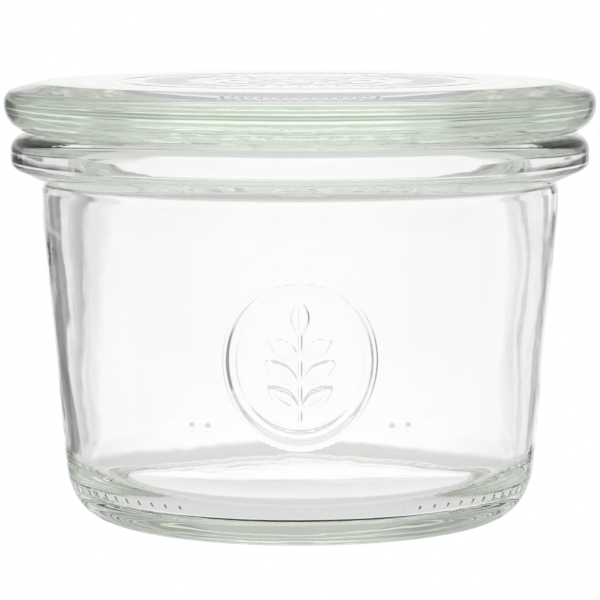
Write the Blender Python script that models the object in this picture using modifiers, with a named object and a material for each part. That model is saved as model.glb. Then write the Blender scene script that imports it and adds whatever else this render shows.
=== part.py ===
"""A squat canning jar of clear glass with its loose glass lid, at real size.

The origin is the middle of the ring that the jar stands on, and +Z is up.
Both pieces are turned on the Z axis: a profile of (radius, height) points is
carried round by a Screw modifier. The sizes below are in millimetres, and MM
turns them into Blender's metres.
"""
import math

import bpy

MM = 0.001
STEPS = 80              # facets round each turned piece
MERGE_DISTANCE = 1e-5   # metres, joins the points that lie on the axis

# Jar: outside of the body
BEARING_INNER = 23.8    # flat ring that the jar stands on
BEARING_OUTER = 25.1
HEEL_HEIGHT = 5.4       # where the rounded heel meets the tapered wall
HEEL_RADIUS = 28.0
HEEL_CORNER = (27.5, 1.3)
TAPER_TOP = 33.2        # the taper ends here and bends into the neck
TAPER_TOP_RADIUS = 30.37
NECK_RADIUS = 30.6
NECK_CORNER = 35.5
NECK_TOP = 38.0

# Jar: flange round the mouth
FLANGE_ROOT = 39.35     # where the flange's underside meets the neck
FLANGE_ROOT_RADIUS = 30.35
FLANGE_RADIUS = 34.25
FLANGE_TOP = 44.9
FLANGE_TOP_ROUND = 1.9
FLANGE_FACE_BOTTOM = 41.9
FLANGE_LOWER_ROUND = 1.2
FLANGE_UNDERSIDE_TURN = 68   # degrees that the lower edge turns before the underside

# Jar: hollow, whose wall runs nearly straight up
MOUTH_RADIUS = 27.5
MOUTH_LIP = 0.9
THROAT_CORNER = (27.5, 42.2)
SHOULDER = (27.5, 40.0)
WALL_CORNER = (27.4, 24.5)
CAVITY_FOOT_RADIUS = 26.3
CAVITY_FOOT = 8.4
FLOOR_THICKNESS = 2.8
FLOOR_RADIUS = 20.5
FLOOR_CROWN = 0.4       # the middle of the floor stands this much higher

# Jar: underside inside the bearing ring
PUSH_UP = 1.0
PUSH_UP_EDGE = 0.6
PUSH_UP_RADIUS = 22.4

# Lid: flat top, bevel and rounded rim
GAP = 0.3               # clearance between the lid and the flange
LID_RADIUS = 35.0
LID_WIDEST = 48.4       # height of the rim's widest line
LID_TOP = 51.0
TOP_RADIUS = 30.7
TOP_EDGE = 0.3
BEVEL_RADIUS = 33.8     # outer end of the bevel
BEVEL_HEIGHT = 50.2
RIM_CORNER_HEIGHT = 49.9
RIM_LOWER_ROUND = 3.2

# Lid: two shallow rings pressed into the top
GROOVE_DEPTH = 0.2
GROOVE_WIDTH = 1.0
GROOVE_RADII = (10.5, 21.5)

# Lid: plug below the seat, with a shallow recess in it
PLUG_RADIUS = 26.6
PLUG_ROOT_RADIUS = 27.2
PLUG_BOTTOM = 43.3
PLUG_EDGE = 0.5
RECESS_RADIUS = 23.2
RECESS_TOP = 45.9


def arc(centre, radius, start, end, count):
    """Points of a circle about centre, from one angle to another in degrees."""
    angles = [math.radians(start + (end - start) * i / count) for i in range(count + 1)]
    return [(centre[0] + radius * math.cos(a), centre[1] + radius * math.sin(a)) for a in angles]


def bend(start, corner, end, count):
    """Points of a parabola that leaves start towards corner and runs in to end from it."""
    points = []
    for i in range(count + 1):
        t = i / count
        weights = ((1 - t) ** 2, 2 * t * (1 - t), t ** 2)
        points.append(tuple(sum(w * p[k] for w, p in zip(weights, (start, corner, end)))
                            for k in range(2)))
    return points


def groove(radius):
    """A shallow rounded ring in the lid's top, seen in profile from the axis outwards."""
    half = GROOVE_WIDTH / 2
    corner = (radius, LID_TOP - 2 * GROOVE_DEPTH)
    return bend((radius - half, LID_TOP), corner, (radius + half, LID_TOP), 4)


def jar_profile():
    """Floor, inner wall and lip going up, then flange, wall, heel and underside coming down."""
    floor_edge = (FLOOR_RADIUS, FLOOR_THICKNESS)
    floor_corner = (CAVITY_FOOT_RADIUS - 0.25, FLOOR_THICKNESS)
    foot = (CAVITY_FOOT_RADIUS, CAVITY_FOOT)
    lip = (MOUTH_RADIUS, FLANGE_TOP - MOUTH_LIP)
    points = [(0.0, FLOOR_THICKNESS + FLOOR_CROWN)]
    points += bend(floor_edge, floor_corner, foot, 6)
    points += bend(foot, WALL_CORNER, SHOULDER, 10)[1:]
    points += bend(SHOULDER, THROAT_CORNER, lip, 3)[1:]
    points += bend(lip, (MOUTH_RADIUS, FLANGE_TOP), (MOUTH_RADIUS + MOUTH_LIP, FLANGE_TOP), 3)[1:]
    top_round = (FLANGE_RADIUS - FLANGE_TOP_ROUND, FLANGE_TOP - FLANGE_TOP_ROUND)
    points += arc(top_round, FLANGE_TOP_ROUND, 90, 0, 5)
    lower_round = (FLANGE_RADIUS - FLANGE_LOWER_ROUND, FLANGE_FACE_BOTTOM)
    points += arc(lower_round, FLANGE_LOWER_ROUND, 0, -FLANGE_UNDERSIDE_TURN, 3)
    points += bend((FLANGE_ROOT_RADIUS + 0.5, FLANGE_ROOT + 0.2),
                   (FLANGE_ROOT_RADIUS, FLANGE_ROOT),
                   (FLANGE_ROOT_RADIUS + 0.1, FLANGE_ROOT - 0.6), 2)
    points += bend((NECK_RADIUS, NECK_TOP), (NECK_RADIUS, NECK_CORNER),
                   (TAPER_TOP_RADIUS, TAPER_TOP), 4)
    points += bend((HEEL_RADIUS, HEEL_HEIGHT), HEEL_CORNER, (BEARING_OUTER, 0.0), 6)
    points += [(BEARING_INNER, 0.0), (PUSH_UP_RADIUS, PUSH_UP_EDGE), (0.0, PUSH_UP)]
    return points


def lid_profile():
    """Top, bevel and rim going down outside, then seat, plug and recess inside."""
    points = [(0.0, LID_TOP)]
    for radius in GROOVE_RADII:
        points += groove(radius)
    points += bend((TOP_RADIUS - TOP_EDGE, LID_TOP), (TOP_RADIUS, LID_TOP),
                   (TOP_RADIUS + TOP_EDGE, LID_TOP - TOP_EDGE / 4), 2)
    points += bend((BEVEL_RADIUS, BEVEL_HEIGHT), (LID_RADIUS, RIM_CORNER_HEIGHT),
                   (LID_RADIUS, LID_WIDEST), 5)
    points += arc((LID_RADIUS - RIM_LOWER_ROUND, LID_WIDEST), RIM_LOWER_ROUND, 0, -90, 8)[1:]
    seat = FLANGE_TOP + GAP
    points += [(PLUG_ROOT_RADIUS, seat)]
    points += bend((PLUG_RADIUS, PLUG_BOTTOM + PLUG_EDGE), (PLUG_RADIUS, PLUG_BOTTOM),
                   (PLUG_RADIUS - PLUG_EDGE, PLUG_BOTTOM), 2)
    points += bend((RECESS_RADIUS + PLUG_EDGE, PLUG_BOTTOM), (RECESS_RADIUS, PLUG_BOTTOM),
                   (RECESS_RADIUS - PLUG_EDGE, PLUG_BOTTOM + PLUG_EDGE), 2)
    points += [(RECESS_RADIUS - 2 * PLUG_EDGE, RECESS_TOP), (0.0, RECESS_TOP)]
    return points


def glass(name, tint):
    """Clear pressed glass with a faint green cast."""
    material = bpy.data.materials.new(name)
    material.use_nodes = True
    shader = material.node_tree.nodes["Principled BSDF"]
    shader.inputs["Base Color"].default_value = tint
    shader.inputs["Roughness"].default_value = 0.02
    shader.inputs["Metallic"].default_value = 0.0
    shader.inputs["IOR"].default_value = 1.52
    shader.inputs["Transmission Weight"].default_value = 1.0
    return material


def turned(name, profile, material, collection):
    """An object whose profile of (radius, height) points is carried round the Z axis."""
    mesh = bpy.data.meshes.new(name)
    vertices = [(radius * MM, 0.0, height * MM) for radius, height in profile]
    edges = [(i, i + 1) for i in range(len(vertices) - 1)]
    mesh.from_pydata(vertices, edges, [])
    piece = bpy.data.objects.new(name, mesh)
    collection.objects.link(piece)
    screw = piece.modifiers.new("turn", "SCREW")
    screw.axis = "Z"
    screw.angle = math.tau
    screw.steps = STEPS
    screw.render_steps = STEPS
    screw.use_merge_vertices = True
    screw.merge_threshold = MERGE_DISTANCE
    screw.use_smooth_shade = True
    mesh.materials.append(material)
    return piece


def main():
    """Clears the file and models the jar and its lid."""
    for old in list(bpy.data.objects):
        bpy.data.objects.remove(old, do_unlink=True)
    collection = bpy.data.collections.new("canning_jar")
    bpy.context.scene.collection.children.link(collection)
    turned("jar", jar_profile(), glass("jar glass", (0.93, 0.97, 0.94, 1.0)), collection)
    turned("lid", lid_profile(), glass("lid glass", (0.91, 0.96, 0.92, 1.0)), collection)


main()
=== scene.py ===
"""Looks of the canning jar: pressed clear glass with a faint green cast, in a white studio.

The two CAD nodes are replaced by finer turned surfaces of the same form, with the
low relief that pressed glass has. Lengths are in millimetres, and MM turns them into
metres. A pair that names a place in a profile is (radius, height). Angle 0 round the
axis is the front (-Y), and angles grow towards +X. They are in radians unless a
comment says degrees.
"""
import math

import bpy
import numpy as np
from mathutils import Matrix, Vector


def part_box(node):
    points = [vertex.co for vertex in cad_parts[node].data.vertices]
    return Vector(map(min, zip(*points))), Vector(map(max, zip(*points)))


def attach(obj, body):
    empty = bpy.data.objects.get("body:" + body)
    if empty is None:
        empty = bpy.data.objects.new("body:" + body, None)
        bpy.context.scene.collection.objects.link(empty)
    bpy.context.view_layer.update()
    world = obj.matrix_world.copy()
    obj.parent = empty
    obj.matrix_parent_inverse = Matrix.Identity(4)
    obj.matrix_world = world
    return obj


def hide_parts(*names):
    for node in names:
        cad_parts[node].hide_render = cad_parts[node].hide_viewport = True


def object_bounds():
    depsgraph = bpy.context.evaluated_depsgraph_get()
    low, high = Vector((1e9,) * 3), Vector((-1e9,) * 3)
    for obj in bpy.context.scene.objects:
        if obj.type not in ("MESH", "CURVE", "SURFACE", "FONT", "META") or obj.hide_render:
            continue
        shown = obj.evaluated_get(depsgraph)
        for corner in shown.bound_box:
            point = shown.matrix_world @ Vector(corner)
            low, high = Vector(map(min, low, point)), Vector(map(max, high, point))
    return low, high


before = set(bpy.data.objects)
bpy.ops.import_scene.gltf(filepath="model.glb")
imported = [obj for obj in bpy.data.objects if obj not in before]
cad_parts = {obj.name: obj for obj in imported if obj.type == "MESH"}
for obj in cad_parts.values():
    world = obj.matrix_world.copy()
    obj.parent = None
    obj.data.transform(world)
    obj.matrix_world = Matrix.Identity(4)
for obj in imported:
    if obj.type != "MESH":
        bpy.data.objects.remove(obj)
cad_low, cad_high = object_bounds()

MM = 0.001
TURN = 2 * math.pi

# Camera, fitted to the ovals of the lid, flange and base in the photograph
IMAGE_SIZE = 600
FOCAL_PIXELS = 2990.0
CAMERA_DISTANCE = 355.0     # from the jar's axis
CAMERA_HEIGHT = 66.4        # above the floor
CAMERA_PITCH = 6.68         # degrees below the horizon
CLIP_START = 10.0
SENSOR = 36.0

# Sizes that the frame gives
LID_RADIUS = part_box("lid")[1][0] / MM
LID_TOP = cad_high.z / MM
FLANGE_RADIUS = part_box("jar")[1][0] / MM
FLANGE_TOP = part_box("jar")[1][2] / MM

# Jar's outside, from the ring that it stands on up to the flange
BEARING_INNER = (23.8, 0.0)
BEARING_OUTER = (25.1, 0.0)
HEEL_CORNER = (27.5, 1.3)
HEEL_TOP = (28.0, 5.4)
WALL_TOP = (30.37, 33.2)
NECK_CORNER = (30.6, 35.5)
NECK = (30.6, 38.0)
ROOT_START = (30.6, 38.4)   # small hollow curve between the neck and the flange
ROOT_LOW = (30.45, 38.75)
ROOT_CORNER = (30.35, 39.35)
ROOT_HIGH = (30.85, 39.55)
FLANGE_LOWER_ROUND = 1.2
FLANGE_TURN = 68            # degrees that the lower edge turns before the underside
FLANGE_FACE = 1.1           # height of the straight outer face
FLANGE_TOP_ROUND = 1.9

# Jar's hollow and underside
FLOOR_MIDDLE = (0.0, 3.2)
FLOOR_EDGE = (20.5, 2.8)
FLOOR_CORNER = (26.05, 2.8)
FOOT = (26.3, 8.4)
INNER_CORNER = (27.4, 24.5)
SHOULDER = (27.5, 40.0)
LIP = 0.9                   # rounding of the mouth's inner edge
PUSH_UP_CORNER = (23.2, 0.0)
PUSH_UP_EDGE = (22.4, 0.6)
PUSH_UP_MIDDLE = (0.0, 1.0)

# Lid
GAP = 0.3                   # between the lid's seat and the flange
PATTERN_RADIUS = 22.4       # the top has relief inside this
TOP_RADIUS = 30.7
TOP_EDGE = 0.3
BEVEL_END = (33.8, 50.2)
RIM_CORNER_HEIGHT = 49.9
LID_WIDEST = 48.4           # height of the rim's widest line
RIM_ROUND = 3.2
PLUG_ROOT = 0.4             # rounding where the plug meets the seat
PLUG_DRAFT = 0.25           # how much wider the plug is at its root
PLUG_RADIUS = 26.6
PLUG_BOTTOM = 43.3
PLUG_EDGE = 0.5
RECESS_RADIUS = 23.2
RECESS_WALL = (22.4, 45.6)
RECESS_CORNER = (22.2, 45.9)
RECESS_EDGE = (21.8, 45.9)
RECESS_MIDDLE = (0.0, 45.9)

# Rings along the profiles where there is relief
WALL_RINGS = 104
HEEL_RINGS = 22
TOP_RINGS = 84
BEVEL_RINGS = 22

# Angles in one turn of each kind of band
PLAIN_STEPS = 200
FINE_STEPS = 480
HEEL_STEPS = 864
BACK_STEPS = 170            # outside the dense front of a band
WALL_FRONT = (27, 0.24)     # half the dense front and its pitch, in degrees
BEVEL_FRONT = (20, 0.16)

# Medallion on the front of the wall; the lines' pairs are (half width, height)
WALL_RADIUS = 29.2          # of the outer wall there
MEDALLION_MIDDLE = 21.2     # above the floor
MEDALLION_SIZE = (8.3, 9.2)     # half width and half height
FRAME_LINE = (0.5, 0.27)
INNER_LINE = (0.28, 0.12)
INNER_SCALE = 0.87
STEM_LINE = (0.32, 0.2)
STEM_SPAN = (-6.9, -6.4, 3.2, 3.8)
TOP_LEAF = (3.0, 4.2)       # height of the leaf's base from the middle, and its length
LEAF_PAIRS = ((-5.2, 4.4), (-2.4, 4.8), (0.4, 4.2))
LEAF_LEAN = math.radians(56)    # of the paired leaves from the stem
LEAF_WIDTH = 1.1            # half width
LEAF_HEIGHT = 0.24
LEAF_CROWN = 2.2            # the higher, the flatter the leaf's top
MIDRIB = (0.28, 0.55)       # half width, and share of the leaf's height taken away
MIDRIB_START = (0.2, 0.6)   # half widths of the leaf between which the midrib deepens
PIP = (0.6, 0.12)
PIP_PLACES = (10.6, 12.6)   # to each side of the middle
PIP_LEVEL = 13.6            # above the floor

# Notches in the ring that the jar stands on
NOTCHES = 72
NOTCH = (0.45, 0.28)
NOTCH_SPAN = (23.2, 23.5, 24.4, 24.8)
NOTCH_FRONT = 0.15          # share of their depth that is left at the front and back
NOTCH_SIDES = (0.42, 0.6)   # sines of the angles between which they deepen

# Unevenness of the hollow: each wave's height, how often it goes round, and the length
# up the wall, or out along the floor, over which it turns by one radian
WALL_WAVE = (0.04, 3, 4.1)
SLANTED_WAVE = (0.03, 5, 2.9)
WAVE_SPAN = (7.0, 13.0, 36.0, 42.0)     # heights
WAVE_RADIUS = 27.6          # the waves stay inside this
FLOOR_SWIRL = (0.05, 2, 4.0)
SWIRL_SPAN = (3.0, 10.0, 20.0, 25.0)    # radii

# Pattern pressed into the lid's top
RING_RADII = (10.5, 21.5)
RING = (0.5, 0.12)
BARS = 40
BAR = (0.5, 0.07)
BAR_SPAN = (13.0, 13.8, 18.2, 19.0)
PETALS = 8
PETAL_RADII = (3.0, 8.0)    # between the petals and at their tips
PETAL = (0.55, 0.08)
INNER_PETAL = (0.4, 0.05)
INNER_PETAL_SCALE = 0.55

# Marks on the lid's bevel
MARKS = 17
MARK_PITCH = math.radians(1.9)
MARK = (0.3, 0.14)
MARK_RADIUS = 32.4
MARK_REACHES = (0.95, 0.6)  # half lengths, by turns
MARK_END = 0.3              # length over which a mark's end fades

# Glass
GLASS_COLOUR = (0.66, 0.88, 0.56, 1.0)
GLASS_DENSITY = 5.0
GLASS_IOR = 1.52
RIPPLE_SCALE = 160.0
RIPPLE_DEPTH = 0.04
HAZE_SCALE = 60.0
HAZE_RISE = (0.55, 0.8)     # values of its noise between which the haze sets in
HAZE_ROUGHNESS = 0.03

# Brightness of the studio's parts, where 1 is white
WALLS, BACK_WALLS, CORNERS = 0.52, 0.72, 0.32
TABLE, NEAR_TABLE = 0.7, 1.05
LAMP = 0.85
LEFT_SIDE, RIGHT_SIDE = 0.81, 0.88
BACKDROP = 1.0
LEFT_CARD_TAKES, RIGHT_CARD_TAKES = 0.72, 0.6

# Places in the studio: (from, to, softness) in azimuth, then in elevation, in degrees
SIDES_PLACE = (10, 80, 10), (-14, 7, 4)
BACKDROP_PLACE = (-13, 16.5, 4), (-24, 9.5, 5)
LEFT_CARD_PLACE = (-38, -19, 4), (-13, 2, 3)
RIGHT_CARD_PLACE = (23, 31, 4), (-13, 2, 3)
CORNER_ACROSS = (20, 52, 10)

# Angles between which the studio goes over from one part to the next, in degrees
CORNER_UP = (6, 20)
WALLS_BACK = (110, 160)
TABLE_NEAR = (70, 115)
TABLE_DOWN = (8, 13)
LAMP_UP = (46, 62)
SIDES_RIGHT = (14, 22)

# Light paths through the many glass surfaces
BOUNCES = 32
GLOSSY_BOUNCES = 16


# Curves in profile

def bend(start, corner, end, count):
    """Parabola from start to end, leaving and arriving on the lines through corner."""
    t = np.linspace(0.0, 1.0, count + 1)[:, None]
    start, corner, end = (np.array(p, float) for p in (start, corner, end))
    return (1 - t) ** 2 * start + 2 * t * (1 - t) * corner + t ** 2 * end


def arc(centre, radius, start, end, count):
    """Circle about centre: radius times (cos, sin) of angles from start to end, in degrees."""
    a = np.radians(np.linspace(start, end, count + 1))
    return np.array(centre, float) + radius * np.stack([np.cos(a), np.sin(a)], axis=1)


def run(start, end, count):
    """Straight line from start to end in even steps, without its two ends."""
    t = np.linspace(0.0, 1.0, count + 2)[1:-1, None]
    return (1 - t) * np.array(start, float) + t * np.array(end, float)


def joined(*stretches):
    """One profile from its stretches, with points closer than a micrometre dropped."""
    points = np.concatenate([np.atleast_2d(s) for s in stretches])
    keep = np.ones(len(points), bool)
    keep[1:] = np.linalg.norm(np.diff(points, axis=0), axis=1) > 1e-3
    return points[keep]


def jar_profile():
    """Jar in parts: hollow and flange, then wall, heel and underside, from inside to below."""
    mouth, top = SHOULDER[0], FLANGE_TOP
    face_top = top - FLANGE_TOP_ROUND
    face_bottom = face_top - FLANGE_FACE
    upper = (FLANGE_RADIUS - FLANGE_TOP_ROUND, face_top)
    lower = (FLANGE_RADIUS - FLANGE_LOWER_ROUND, face_bottom)
    hollow = joined(
        [FLOOR_MIDDLE], run(FLOOR_MIDDLE, FLOOR_EDGE, 12),
        bend(FLOOR_EDGE, FLOOR_CORNER, FOOT, 18),
        bend(FOOT, INNER_CORNER, SHOULDER, 28),
        run(SHOULDER, (mouth, top - LIP), 4),
        bend((mouth, top - LIP), (mouth, top), (mouth + LIP, top), 6),
        run((mouth + LIP, top), (upper[0], top), 3),
        arc(upper, FLANGE_TOP_ROUND, 90, 0, 12),
        run((FLANGE_RADIUS, face_top), (FLANGE_RADIUS, face_bottom), 1),
        arc(lower, FLANGE_LOWER_ROUND, 0, -FLANGE_TURN, 8),
        bend(ROOT_HIGH, ROOT_CORNER, ROOT_LOW, 4),
        bend(ROOT_LOW, ROOT_START, NECK, 2),
        bend(NECK, NECK_CORNER, WALL_TOP, 8))
    wall = run(WALL_TOP, HEEL_TOP, WALL_RINGS)
    heel = joined(
        bend(HEEL_TOP, HEEL_CORNER, BEARING_OUTER, HEEL_RINGS),
        run(BEARING_OUTER, BEARING_INNER, 4),
        bend(BEARING_INNER, PUSH_UP_CORNER, PUSH_UP_EDGE, 5))
    underside = joined(run(PUSH_UP_EDGE, PUSH_UP_MIDDLE, 12), [PUSH_UP_MIDDLE])
    return hollow, wall, heel, underside


def lid_profile():
    """Lid in parts: decorated middle, plain top, bevel, then rim, seat, plug and recess."""
    top, seat = LID_TOP, FLANGE_TOP + GAP
    top_end = (TOP_RADIUS - TOP_EDGE, top)
    bevel_start = (TOP_RADIUS + TOP_EDGE, top - TOP_EDGE / 4)
    seat_outer = (LID_RADIUS - RIM_ROUND, seat)
    seat_inner = (PLUG_RADIUS + 2 * PLUG_ROOT, seat)
    plug_top = (PLUG_RADIUS + PLUG_DRAFT, seat - PLUG_ROOT)
    plug_side = (PLUG_RADIUS, PLUG_BOTTOM + PLUG_EDGE)
    plug_outer = (PLUG_RADIUS - PLUG_EDGE, PLUG_BOTTOM)
    plug_inner = (RECESS_RADIUS + PLUG_EDGE, PLUG_BOTTOM)
    recess_foot = (RECESS_RADIUS - PLUG_EDGE, PLUG_BOTTOM + PLUG_EDGE)
    middle = joined([(0.0, top)], run((0.0, top), (PATTERN_RADIUS, top), TOP_RINGS))
    plain = joined(
        run((PATTERN_RADIUS, top), top_end, 6),
        bend(top_end, (TOP_RADIUS, top), bevel_start, 4))
    slope = run(bevel_start, BEVEL_END, BEVEL_RINGS)
    rim = joined(
        bend(BEVEL_END, (LID_RADIUS, RIM_CORNER_HEIGHT), (LID_RADIUS, LID_WIDEST), 14),
        arc((LID_RADIUS - RIM_ROUND, LID_WIDEST), RIM_ROUND, 0, -90, 20),
        run(seat_outer, seat_inner, 4),
        bend(seat_inner, (PLUG_RADIUS + PLUG_ROOT, seat), plug_top, 4),
        run(plug_top, plug_side, 2),
        bend(plug_side, (PLUG_RADIUS, PLUG_BOTTOM), plug_outer, 5),
        run(plug_outer, plug_inner, 2),
        bend(plug_inner, (RECESS_RADIUS, PLUG_BOTTOM), recess_foot, 5),
        run(recess_foot, RECESS_WALL, 3),
        bend(RECESS_WALL, RECESS_CORNER, RECESS_EDGE, 4),
        run(RECESS_EDGE, RECESS_MIDDLE, 12), [RECESS_MIDDLE])
    return middle, plain, slope, rim


# Angles

def even(steps):
    """Even angles for one turn, starting at the back."""
    return np.arange(steps) * (TURN / steps) - math.pi


def dense_front(half, pitch):
    """Angles for one turn, one every pitch degrees within half a side of the front."""
    half, pitch = math.radians(half), math.radians(pitch)
    side = BACK_STEPS // 2
    return np.concatenate([
        np.linspace(-math.pi, -half, side, endpoint=False),
        np.linspace(-half, half, round(2 * half / pitch), endpoint=False),
        np.linspace(half, math.pi, side, endpoint=False)])


# Relief, each a height for points at (radius, height, angle)

def ridge(distance, half_width, height):
    """Rounded ridge across distance d: height (1 - (d / w)^2)^2 inside its half width w."""
    return height * np.clip(1 - (distance / half_width) ** 2, 0, 1) ** 2


def step(value, low, high):
    """0 below low and 1 above high, with 3t^2 - 2t^3 between them."""
    t = np.clip((value - low) / (high - low), 0, 1)
    return t * t * (3 - 2 * t)


def span(value, start, full, fading, end):
    """1 from full to fading, and 0 before start and after end."""
    return step(value, start, full) * (1 - step(value, fading, end))


def aside(radius, angle, pitch):
    """Distance along the circle from the nearest of the marks that stand pitch apart."""
    return radius * np.abs((angle + pitch / 2) % pitch - pitch / 2)


def leaf(u, v, base, angle, length):
    """Almond leaf from its base: half width w sin(pi s / L) at s along it, with a sunk midrib."""
    along = (u - base[0]) * math.cos(angle) + (v - base[1]) * math.sin(angle)
    across = np.abs((v - base[1]) * math.cos(angle) - (u - base[0]) * math.sin(angle))
    inside = (along > 0) & (along < length)
    outline = LEAF_WIDTH * np.sin(math.pi * np.clip(along / length, 0, 1)) + 1e-6
    rounded = np.clip(1 - (across / outline) ** 2, 0, 1)
    rib = ridge(across, *MIDRIB) * step(outline, *MIDRIB_START)
    return np.where(inside, LEAF_HEIGHT * np.minimum(1, LEAF_CROWN * rounded) * (1 - rib), 0)


def medallion(radius, z, angle):
    """Oval frame with a leafy sprig, the same left and right, and pips beside it."""
    u, v = WALL_RADIUS * angle, z - MEDALLION_MIDDLE
    wide, tall = MEDALLION_SIZE
    oval = np.hypot(u / wide, v / tall) + 1e-9
    reach = np.hypot(u, v) / oval
    parts = [ridge((oval - 1) * reach, *FRAME_LINE),
             ridge((oval - INNER_SCALE) * reach, *INNER_LINE),
             ridge(u, *STEM_LINE) * span(v, *STEM_SPAN),
             leaf(u, v, (0.0, TOP_LEAF[0]), math.pi / 2, TOP_LEAF[1])]
    for side in (1, -1):
        for low, length in LEAF_PAIRS:
            parts.append(leaf(u, v, (0.0, low), math.pi / 2 - side * LEAF_LEAN, length))
        for out in PIP_PLACES:
            parts.append(ridge(np.hypot(u - side * out, z - PIP_LEVEL), *PIP))
    return np.maximum.reduce(parts)


def notches(radius, z, angle):
    """Short radial notches in the ring that the jar stands on, faint at the front and back."""
    row = ridge(aside(radius, angle, TURN / NOTCHES), *NOTCH) * span(radius, *NOTCH_SPAN)
    return -row * (NOTCH_FRONT + (1 - NOTCH_FRONT) * step(np.abs(np.sin(angle)), *NOTCH_SIDES))


def inner_waves(radius, z, angle):
    """Slow waves that the press leaves on the hollow's wall, and a slow swirl on its floor."""
    height, times, length = WALL_WAVE
    upright = height * np.sin(times * angle + 0.5) * np.sin(z / length)
    height, times, length = SLANTED_WAVE
    slanted = height * np.sin(times * angle + z / length)
    height, times, length = FLOOR_SWIRL
    swirl = height * np.sin(times * angle + radius / length + 1.0)
    return ((upright + slanted) * (radius < WAVE_RADIUS) * span(z, *WAVE_SPAN)
            + swirl * span(radius, *SWIRL_SPAN))


def lid_pattern(radius, z, angle):
    """Pressed into the middle: two rings, bars between them, and a rosette of petals."""
    rings = sum(ridge(radius - place, *RING) for place in RING_RADII) + 0 * angle
    bars = ridge(aside(radius, angle, TURN / BARS), *BAR) * span(radius, *BAR_SPAN)
    inner, outer = PETAL_RADII
    edge = inner + (outer - inner) * np.abs(np.cos(PETALS / 2 * angle))
    petals = (ridge(radius - edge, *PETAL)
              + ridge(radius - INNER_PETAL_SCALE * edge, *INNER_PETAL))
    return -np.maximum.reduce([rings, bars, petals])


def bevel_marks(radius, z, angle):
    """Row of small raised bars on the bevel at the front, tall and short by turns."""
    count = np.round(angle / MARK_PITCH)
    reach = np.where(count % 2 == 0, *MARK_REACHES)
    row = (np.abs(count) <= MARKS // 2) * ridge(aside(radius, angle, MARK_PITCH), *MARK)
    return row * (1 - step(np.abs(radius - MARK_RADIUS), reach - MARK_END, reach))


# Surfaces

def normals(profile):
    """Unit normals (-dz, dr) of a profile whose glass lies on its right."""
    along = np.gradient(profile, axis=0)
    normal = np.stack([-along[:, 1], along[:, 0]], axis=1)
    return normal / np.linalg.norm(normal, axis=1, keepdims=True)


def shaped(points, normal, angles, relief):
    """Vertices of the rings of a band, ring by ring.

    A point (r, z) with normal (nr, nz) and relief h goes to
    ((r + h nr) sin a, -(r + h nr) cos a, z + h nz).
    """
    r, z, a = points[:, 0, None], points[:, 1, None], angles[None, :]
    h = relief(r, z, a) if relief else np.zeros((len(points), len(angles)))
    out, up = r + h * normal[:, 0, None], z + h * normal[:, 1, None]
    return np.stack([out * np.sin(a), -out * np.cos(a), up], axis=-1).reshape(-1, 3)


def around(start, count):
    """Numbers of a ring's vertices, and of the vertex that follows each."""
    return start + np.arange(count), start + (np.arange(count) + 1) % count


def strips(start, rings, count):
    """Four-sided faces between rings of count vertices each, the first ring at start."""
    this, following = around(start, count)
    row = np.arange(rings - 1)[:, None] * count
    return np.stack([row + this, row + count + this, row + count + following,
                     row + following], axis=-1).reshape(-1, 4)


def zipped(first, second, first_start, second_start):
    """Triangles between two rings of unlike angles, each edge with the other ring's next point.

    Where two edges end at the same angle, the first ring's counts as the earlier one.
    """
    n, m = len(first), len(second)
    first_ends = np.append(first[1:], first[0] + TURN) - 1e-9
    second_ends = np.append(second[1:], second[0] + TURN)
    i, j = np.arange(n), np.searchsorted(second_ends, first_ends)
    ahead = np.stack([first_start + i, second_start + j % m, first_start + (i + 1) % n], axis=1)
    j, i = np.arange(m), np.searchsorted(first_ends, second_ends)
    behind = np.stack([first_start + i % n, second_start + j, second_start + (j + 1) % m], axis=1)
    return np.concatenate([ahead, behind])


def turned(name, bands):
    """Closed surface of a profile carried round Z in bands, each (points, angles, relief).

    The profile's two ends lie on the axis and are one vertex each.
    """
    profile = np.concatenate([points for points, _, _ in bands])
    normal = normals(profile)
    vertices, faces, taken, total = [], [], 0, 0
    before = None
    for points, angles, relief in bands:
        chosen = np.arange(taken, taken + len(points))
        taken += len(points)
        chosen = chosen[(chosen > 0) & (chosen < len(profile) - 1)]
        vertices.append(shaped(profile[chosen], normal[chosen], angles, relief))
        faces += strips(total, len(chosen), len(angles)).tolist()
        if before:
            faces += zipped(before[0], angles, before[1], total).tolist()
        total += len(chosen) * len(angles)
        before = (angles, total - len(angles))
    vertices.append([[0, 0, profile[0, 1]], [0, 0, profile[-1, 1]]])
    this, following = around(0, len(bands[0][1]))
    faces += np.stack([np.full(len(this), total), this, following], axis=-1).tolist()
    this, following = around(before[1], len(before[0]))
    faces += np.stack([this, np.full(len(this), total + 1), following], axis=-1).tolist()
    mesh = bpy.data.meshes.new(name)
    mesh.from_pydata((np.concatenate(vertices) * MM).tolist(), [], faces)
    mesh.shade_smooth()
    mesh.update()
    piece = bpy.data.objects.new(name, mesh)
    bpy.context.scene.collection.objects.link(piece)
    return piece


def jar():
    """The jar's glass, with the medallion on its wall and notches in its standing ring."""
    hollow, wall, heel, underside = jar_profile()
    return turned("jar_glass", [
        (hollow, even(PLAIN_STEPS), inner_waves),
        (wall, dense_front(*WALL_FRONT), medallion),
        (heel, even(HEEL_STEPS), notches),
        (underside, even(PLAIN_STEPS), None)])


def lid():
    """The lid's glass, with its pressed middle and the marks on its bevel."""
    middle, plain, slope, rim = lid_profile()
    return turned("lid_glass", [
        (middle, even(FINE_STEPS), lid_pattern),
        (plain, even(PLAIN_STEPS), None),
        (slope, dense_front(*BEVEL_FRONT), bevel_marks),
        (rim, even(PLAIN_STEPS), None)])


# Shader nodes

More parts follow.
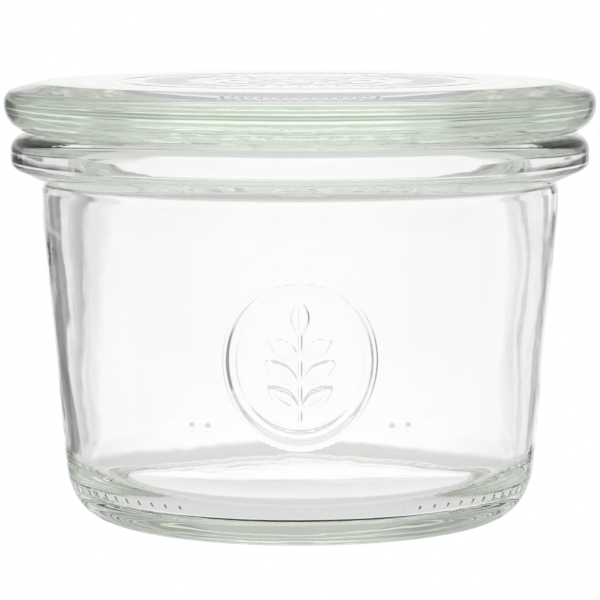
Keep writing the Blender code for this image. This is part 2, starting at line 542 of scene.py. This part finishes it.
class Value:
    """A shader socket that takes part in arithmetic."""

    def __init__(self, graph, socket):
        self.graph, self.socket = graph, socket

    def math(self, operation, *inputs):
        """Math node with this value and others as its inputs."""
        return self.graph.math(operation, self, *inputs)

    def __add__(self, other):
        return self.math("ADD", other)

    def __mul__(self, other):
        return self.math("MULTIPLY", other)

    def __sub__(self, other):
        return self.math("SUBTRACT", other)

    def __radd__(self, other):
        return self.math("ADD", other)

    def __rmul__(self, other):
        return self.math("MULTIPLY", other)

    def __rsub__(self, other):
        return self.graph.math("SUBTRACT", other, self)

    def rise(self, low, high):
        """0 below low and 1 above high, smooth between them."""
        node = self.graph.node("ShaderNodeMapRange", {"interpolation_type": "SMOOTHSTEP"},
                               {"Value": self, "From Min": low, "From Max": high})
        return Value(self.graph, node.outputs["Result"])

    def within(self, low, high, soft):
        """1 between low and high, 0 outside, with edges as wide as soft."""
        half = soft / 2
        return self.rise(low - half, low + half) * (1 - self.rise(high - half, high + half))


class Graph:
    """Adds nodes to a node tree and links them by the names of their inputs."""

    def __init__(self, tree):
        self.tree = tree

    def feed(self, socket, value):
        """Links a value to an input, or sets the input to a constant."""
        if isinstance(value, Value):
            value = value.socket
        if isinstance(value, bpy.types.NodeSocket):
            self.tree.links.new(value, socket)
        else:
            socket.default_value = value

    def node(self, kind, settings=None, inputs=None):
        """Node of a kind, with its settings and its inputs by name or index."""
        node = self.tree.nodes.new(kind)
        for name, value in (settings or {}).items():
            setattr(node, name, value)
        for name, value in (inputs or {}).items():
            self.feed(node.inputs[name], value)
        return node

    def math(self, operation, *inputs):
        """Value of a Math node."""
        node = self.node("ShaderNodeMath", {"operation": operation}, dict(enumerate(inputs)))
        return Value(self, node.outputs[0])


# Materials

def glass(name):
    """Clear glass that takes a little red and blue along its depth, with faint press waves."""
    material = bpy.data.materials.new(name)
    material.use_nodes = True
    graph = Graph(material.node_tree)
    shader = material.node_tree.nodes["Principled BSDF"]
    output = material.node_tree.nodes["Material Output"]
    place = graph.node("ShaderNodeTexCoord").outputs["Object"]
    ripples = graph.node("ShaderNodeTexNoise", None, {
        "Vector": place, "Scale": RIPPLE_SCALE, "Detail": 2.0, "Roughness": 0.5})
    bump = graph.node("ShaderNodeBump", None, {
        "Strength": 1.0, "Distance": RIPPLE_DEPTH * MM, "Height": ripples.outputs["Fac"]})
    haze = graph.node("ShaderNodeTexNoise", None, {
        "Vector": place, "Scale": HAZE_SCALE, "Detail": 3.0})
    graph.feed(shader.inputs["Normal"], bump.outputs["Normal"])
    graph.feed(shader.inputs["Roughness"],
               Value(graph, haze.outputs["Fac"]).rise(*HAZE_RISE) * HAZE_ROUGHNESS)
    graph.feed(shader.inputs["Base Color"], (1.0, 1.0, 1.0, 1.0))
    graph.feed(shader.inputs["IOR"], GLASS_IOR)
    graph.feed(shader.inputs["Transmission Weight"], 1.0)
    absorb = graph.node("ShaderNodeVolumeAbsorption", None, {
        "Color": GLASS_COLOUR, "Density": GLASS_DENSITY})
    graph.feed(output.inputs["Volume"], absorb.outputs["Volume"])
    return material


# Stage

def camera():
    """Camera at the photograph's viewing angle."""
    data = bpy.data.cameras.new("camera")
    data.lens = FOCAL_PIXELS / IMAGE_SIZE * SENSOR
    data.sensor_width = SENSOR
    data.clip_start = CLIP_START * MM
    view = bpy.data.objects.new("camera", data)
    view.location = (0.0, -CAMERA_DISTANCE * MM, CAMERA_HEIGHT * MM)
    view.rotation_euler = (math.radians(90 - CAMERA_PITCH), 0.0, 0.0)
    bpy.context.scene.collection.objects.link(view)
    bpy.context.scene.camera = view


def studio_tone(azimuth, elevation):
    """Brightness of the studio in a direction, given in degrees.

    Elevation is measured from the horizon, and azimuth from straight behind the jar.
    """
    def area(across, place):
        """1 inside a place, whose first range is of the angle across."""
        return across.within(*place[0]) * elevation.within(*place[1])

    off = azimuth.math("ABSOLUTE")
    corners = off.within(*CORNER_ACROSS) * elevation.rise(*CORNER_UP)
    walls = WALLS + (BACK_WALLS - WALLS) * off.rise(*WALLS_BACK) - (WALLS - CORNERS) * corners
    table = TABLE + (NEAR_TABLE - TABLE) * off.rise(*TABLE_NEAR)
    above, below = elevation.rise(*LAMP_UP), (0 - elevation).rise(*TABLE_DOWN)
    tone = walls * (1 - below) * (1 - above) + table * below + LAMP * above

    sides, backdrop = area(off, SIDES_PLACE), area(azimuth, BACKDROP_PLACE)
    side_tone = LEFT_SIDE + (RIGHT_SIDE - LEFT_SIDE) * azimuth.rise(*SIDES_RIGHT)
    tone = tone * (1 - sides) + side_tone * sides
    tone = tone * (1 - backdrop) + BACKDROP * backdrop
    tone = tone * (1 - LEFT_CARD_TAKES * area(azimuth, LEFT_CARD_PLACE))
    return tone * (1 - RIGHT_CARD_TAKES * area(azimuth, RIGHT_CARD_PLACE))


def studio():
    """White backdrop, and round it a bright table, grey walls, dark cards and a light above.

    The camera itself sees plain white.
    """
    world = bpy.data.worlds.new("studio")
    world.use_nodes = True
    graph = Graph(world.node_tree)
    direction = graph.node("ShaderNodeTexCoord").outputs["Generated"]
    parts = graph.node("ShaderNodeSeparateXYZ", None, {"Vector": direction}).outputs
    x, y, z = (Value(graph, part) for part in parts)
    degrees = 180 / math.pi
    tone = studio_tone(x.math("ARCTAN2", y) * degrees, z.math("ARCSINE") * degrees)
    seen = Value(graph, graph.node("ShaderNodeLightPath").outputs["Is Camera Ray"])
    background = world.node_tree.nodes["Background"]
    graph.feed(background.inputs["Color"], (1.0, 1.0, 1.0, 1.0))
    graph.feed(background.inputs["Strength"], tone * (1 - seen) + seen)
    bpy.context.scene.world = world


camera()
studio()
pieces = {"jar": jar(), "lid": lid()}
clear = glass("clear glass")
for node, piece in pieces.items():
    piece.data.materials.append(clear)
    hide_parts(node)
    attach(piece, "root")

scene = bpy.context.scene
scene.view_settings.view_transform = "Standard"
scene.cycles.max_bounces = BOUNCES
scene.cycles.transmission_bounces = BOUNCES
scene.cycles.glossy_bounces = GLOSSY_BOUNCES
scene.cycles.use_denoising = True
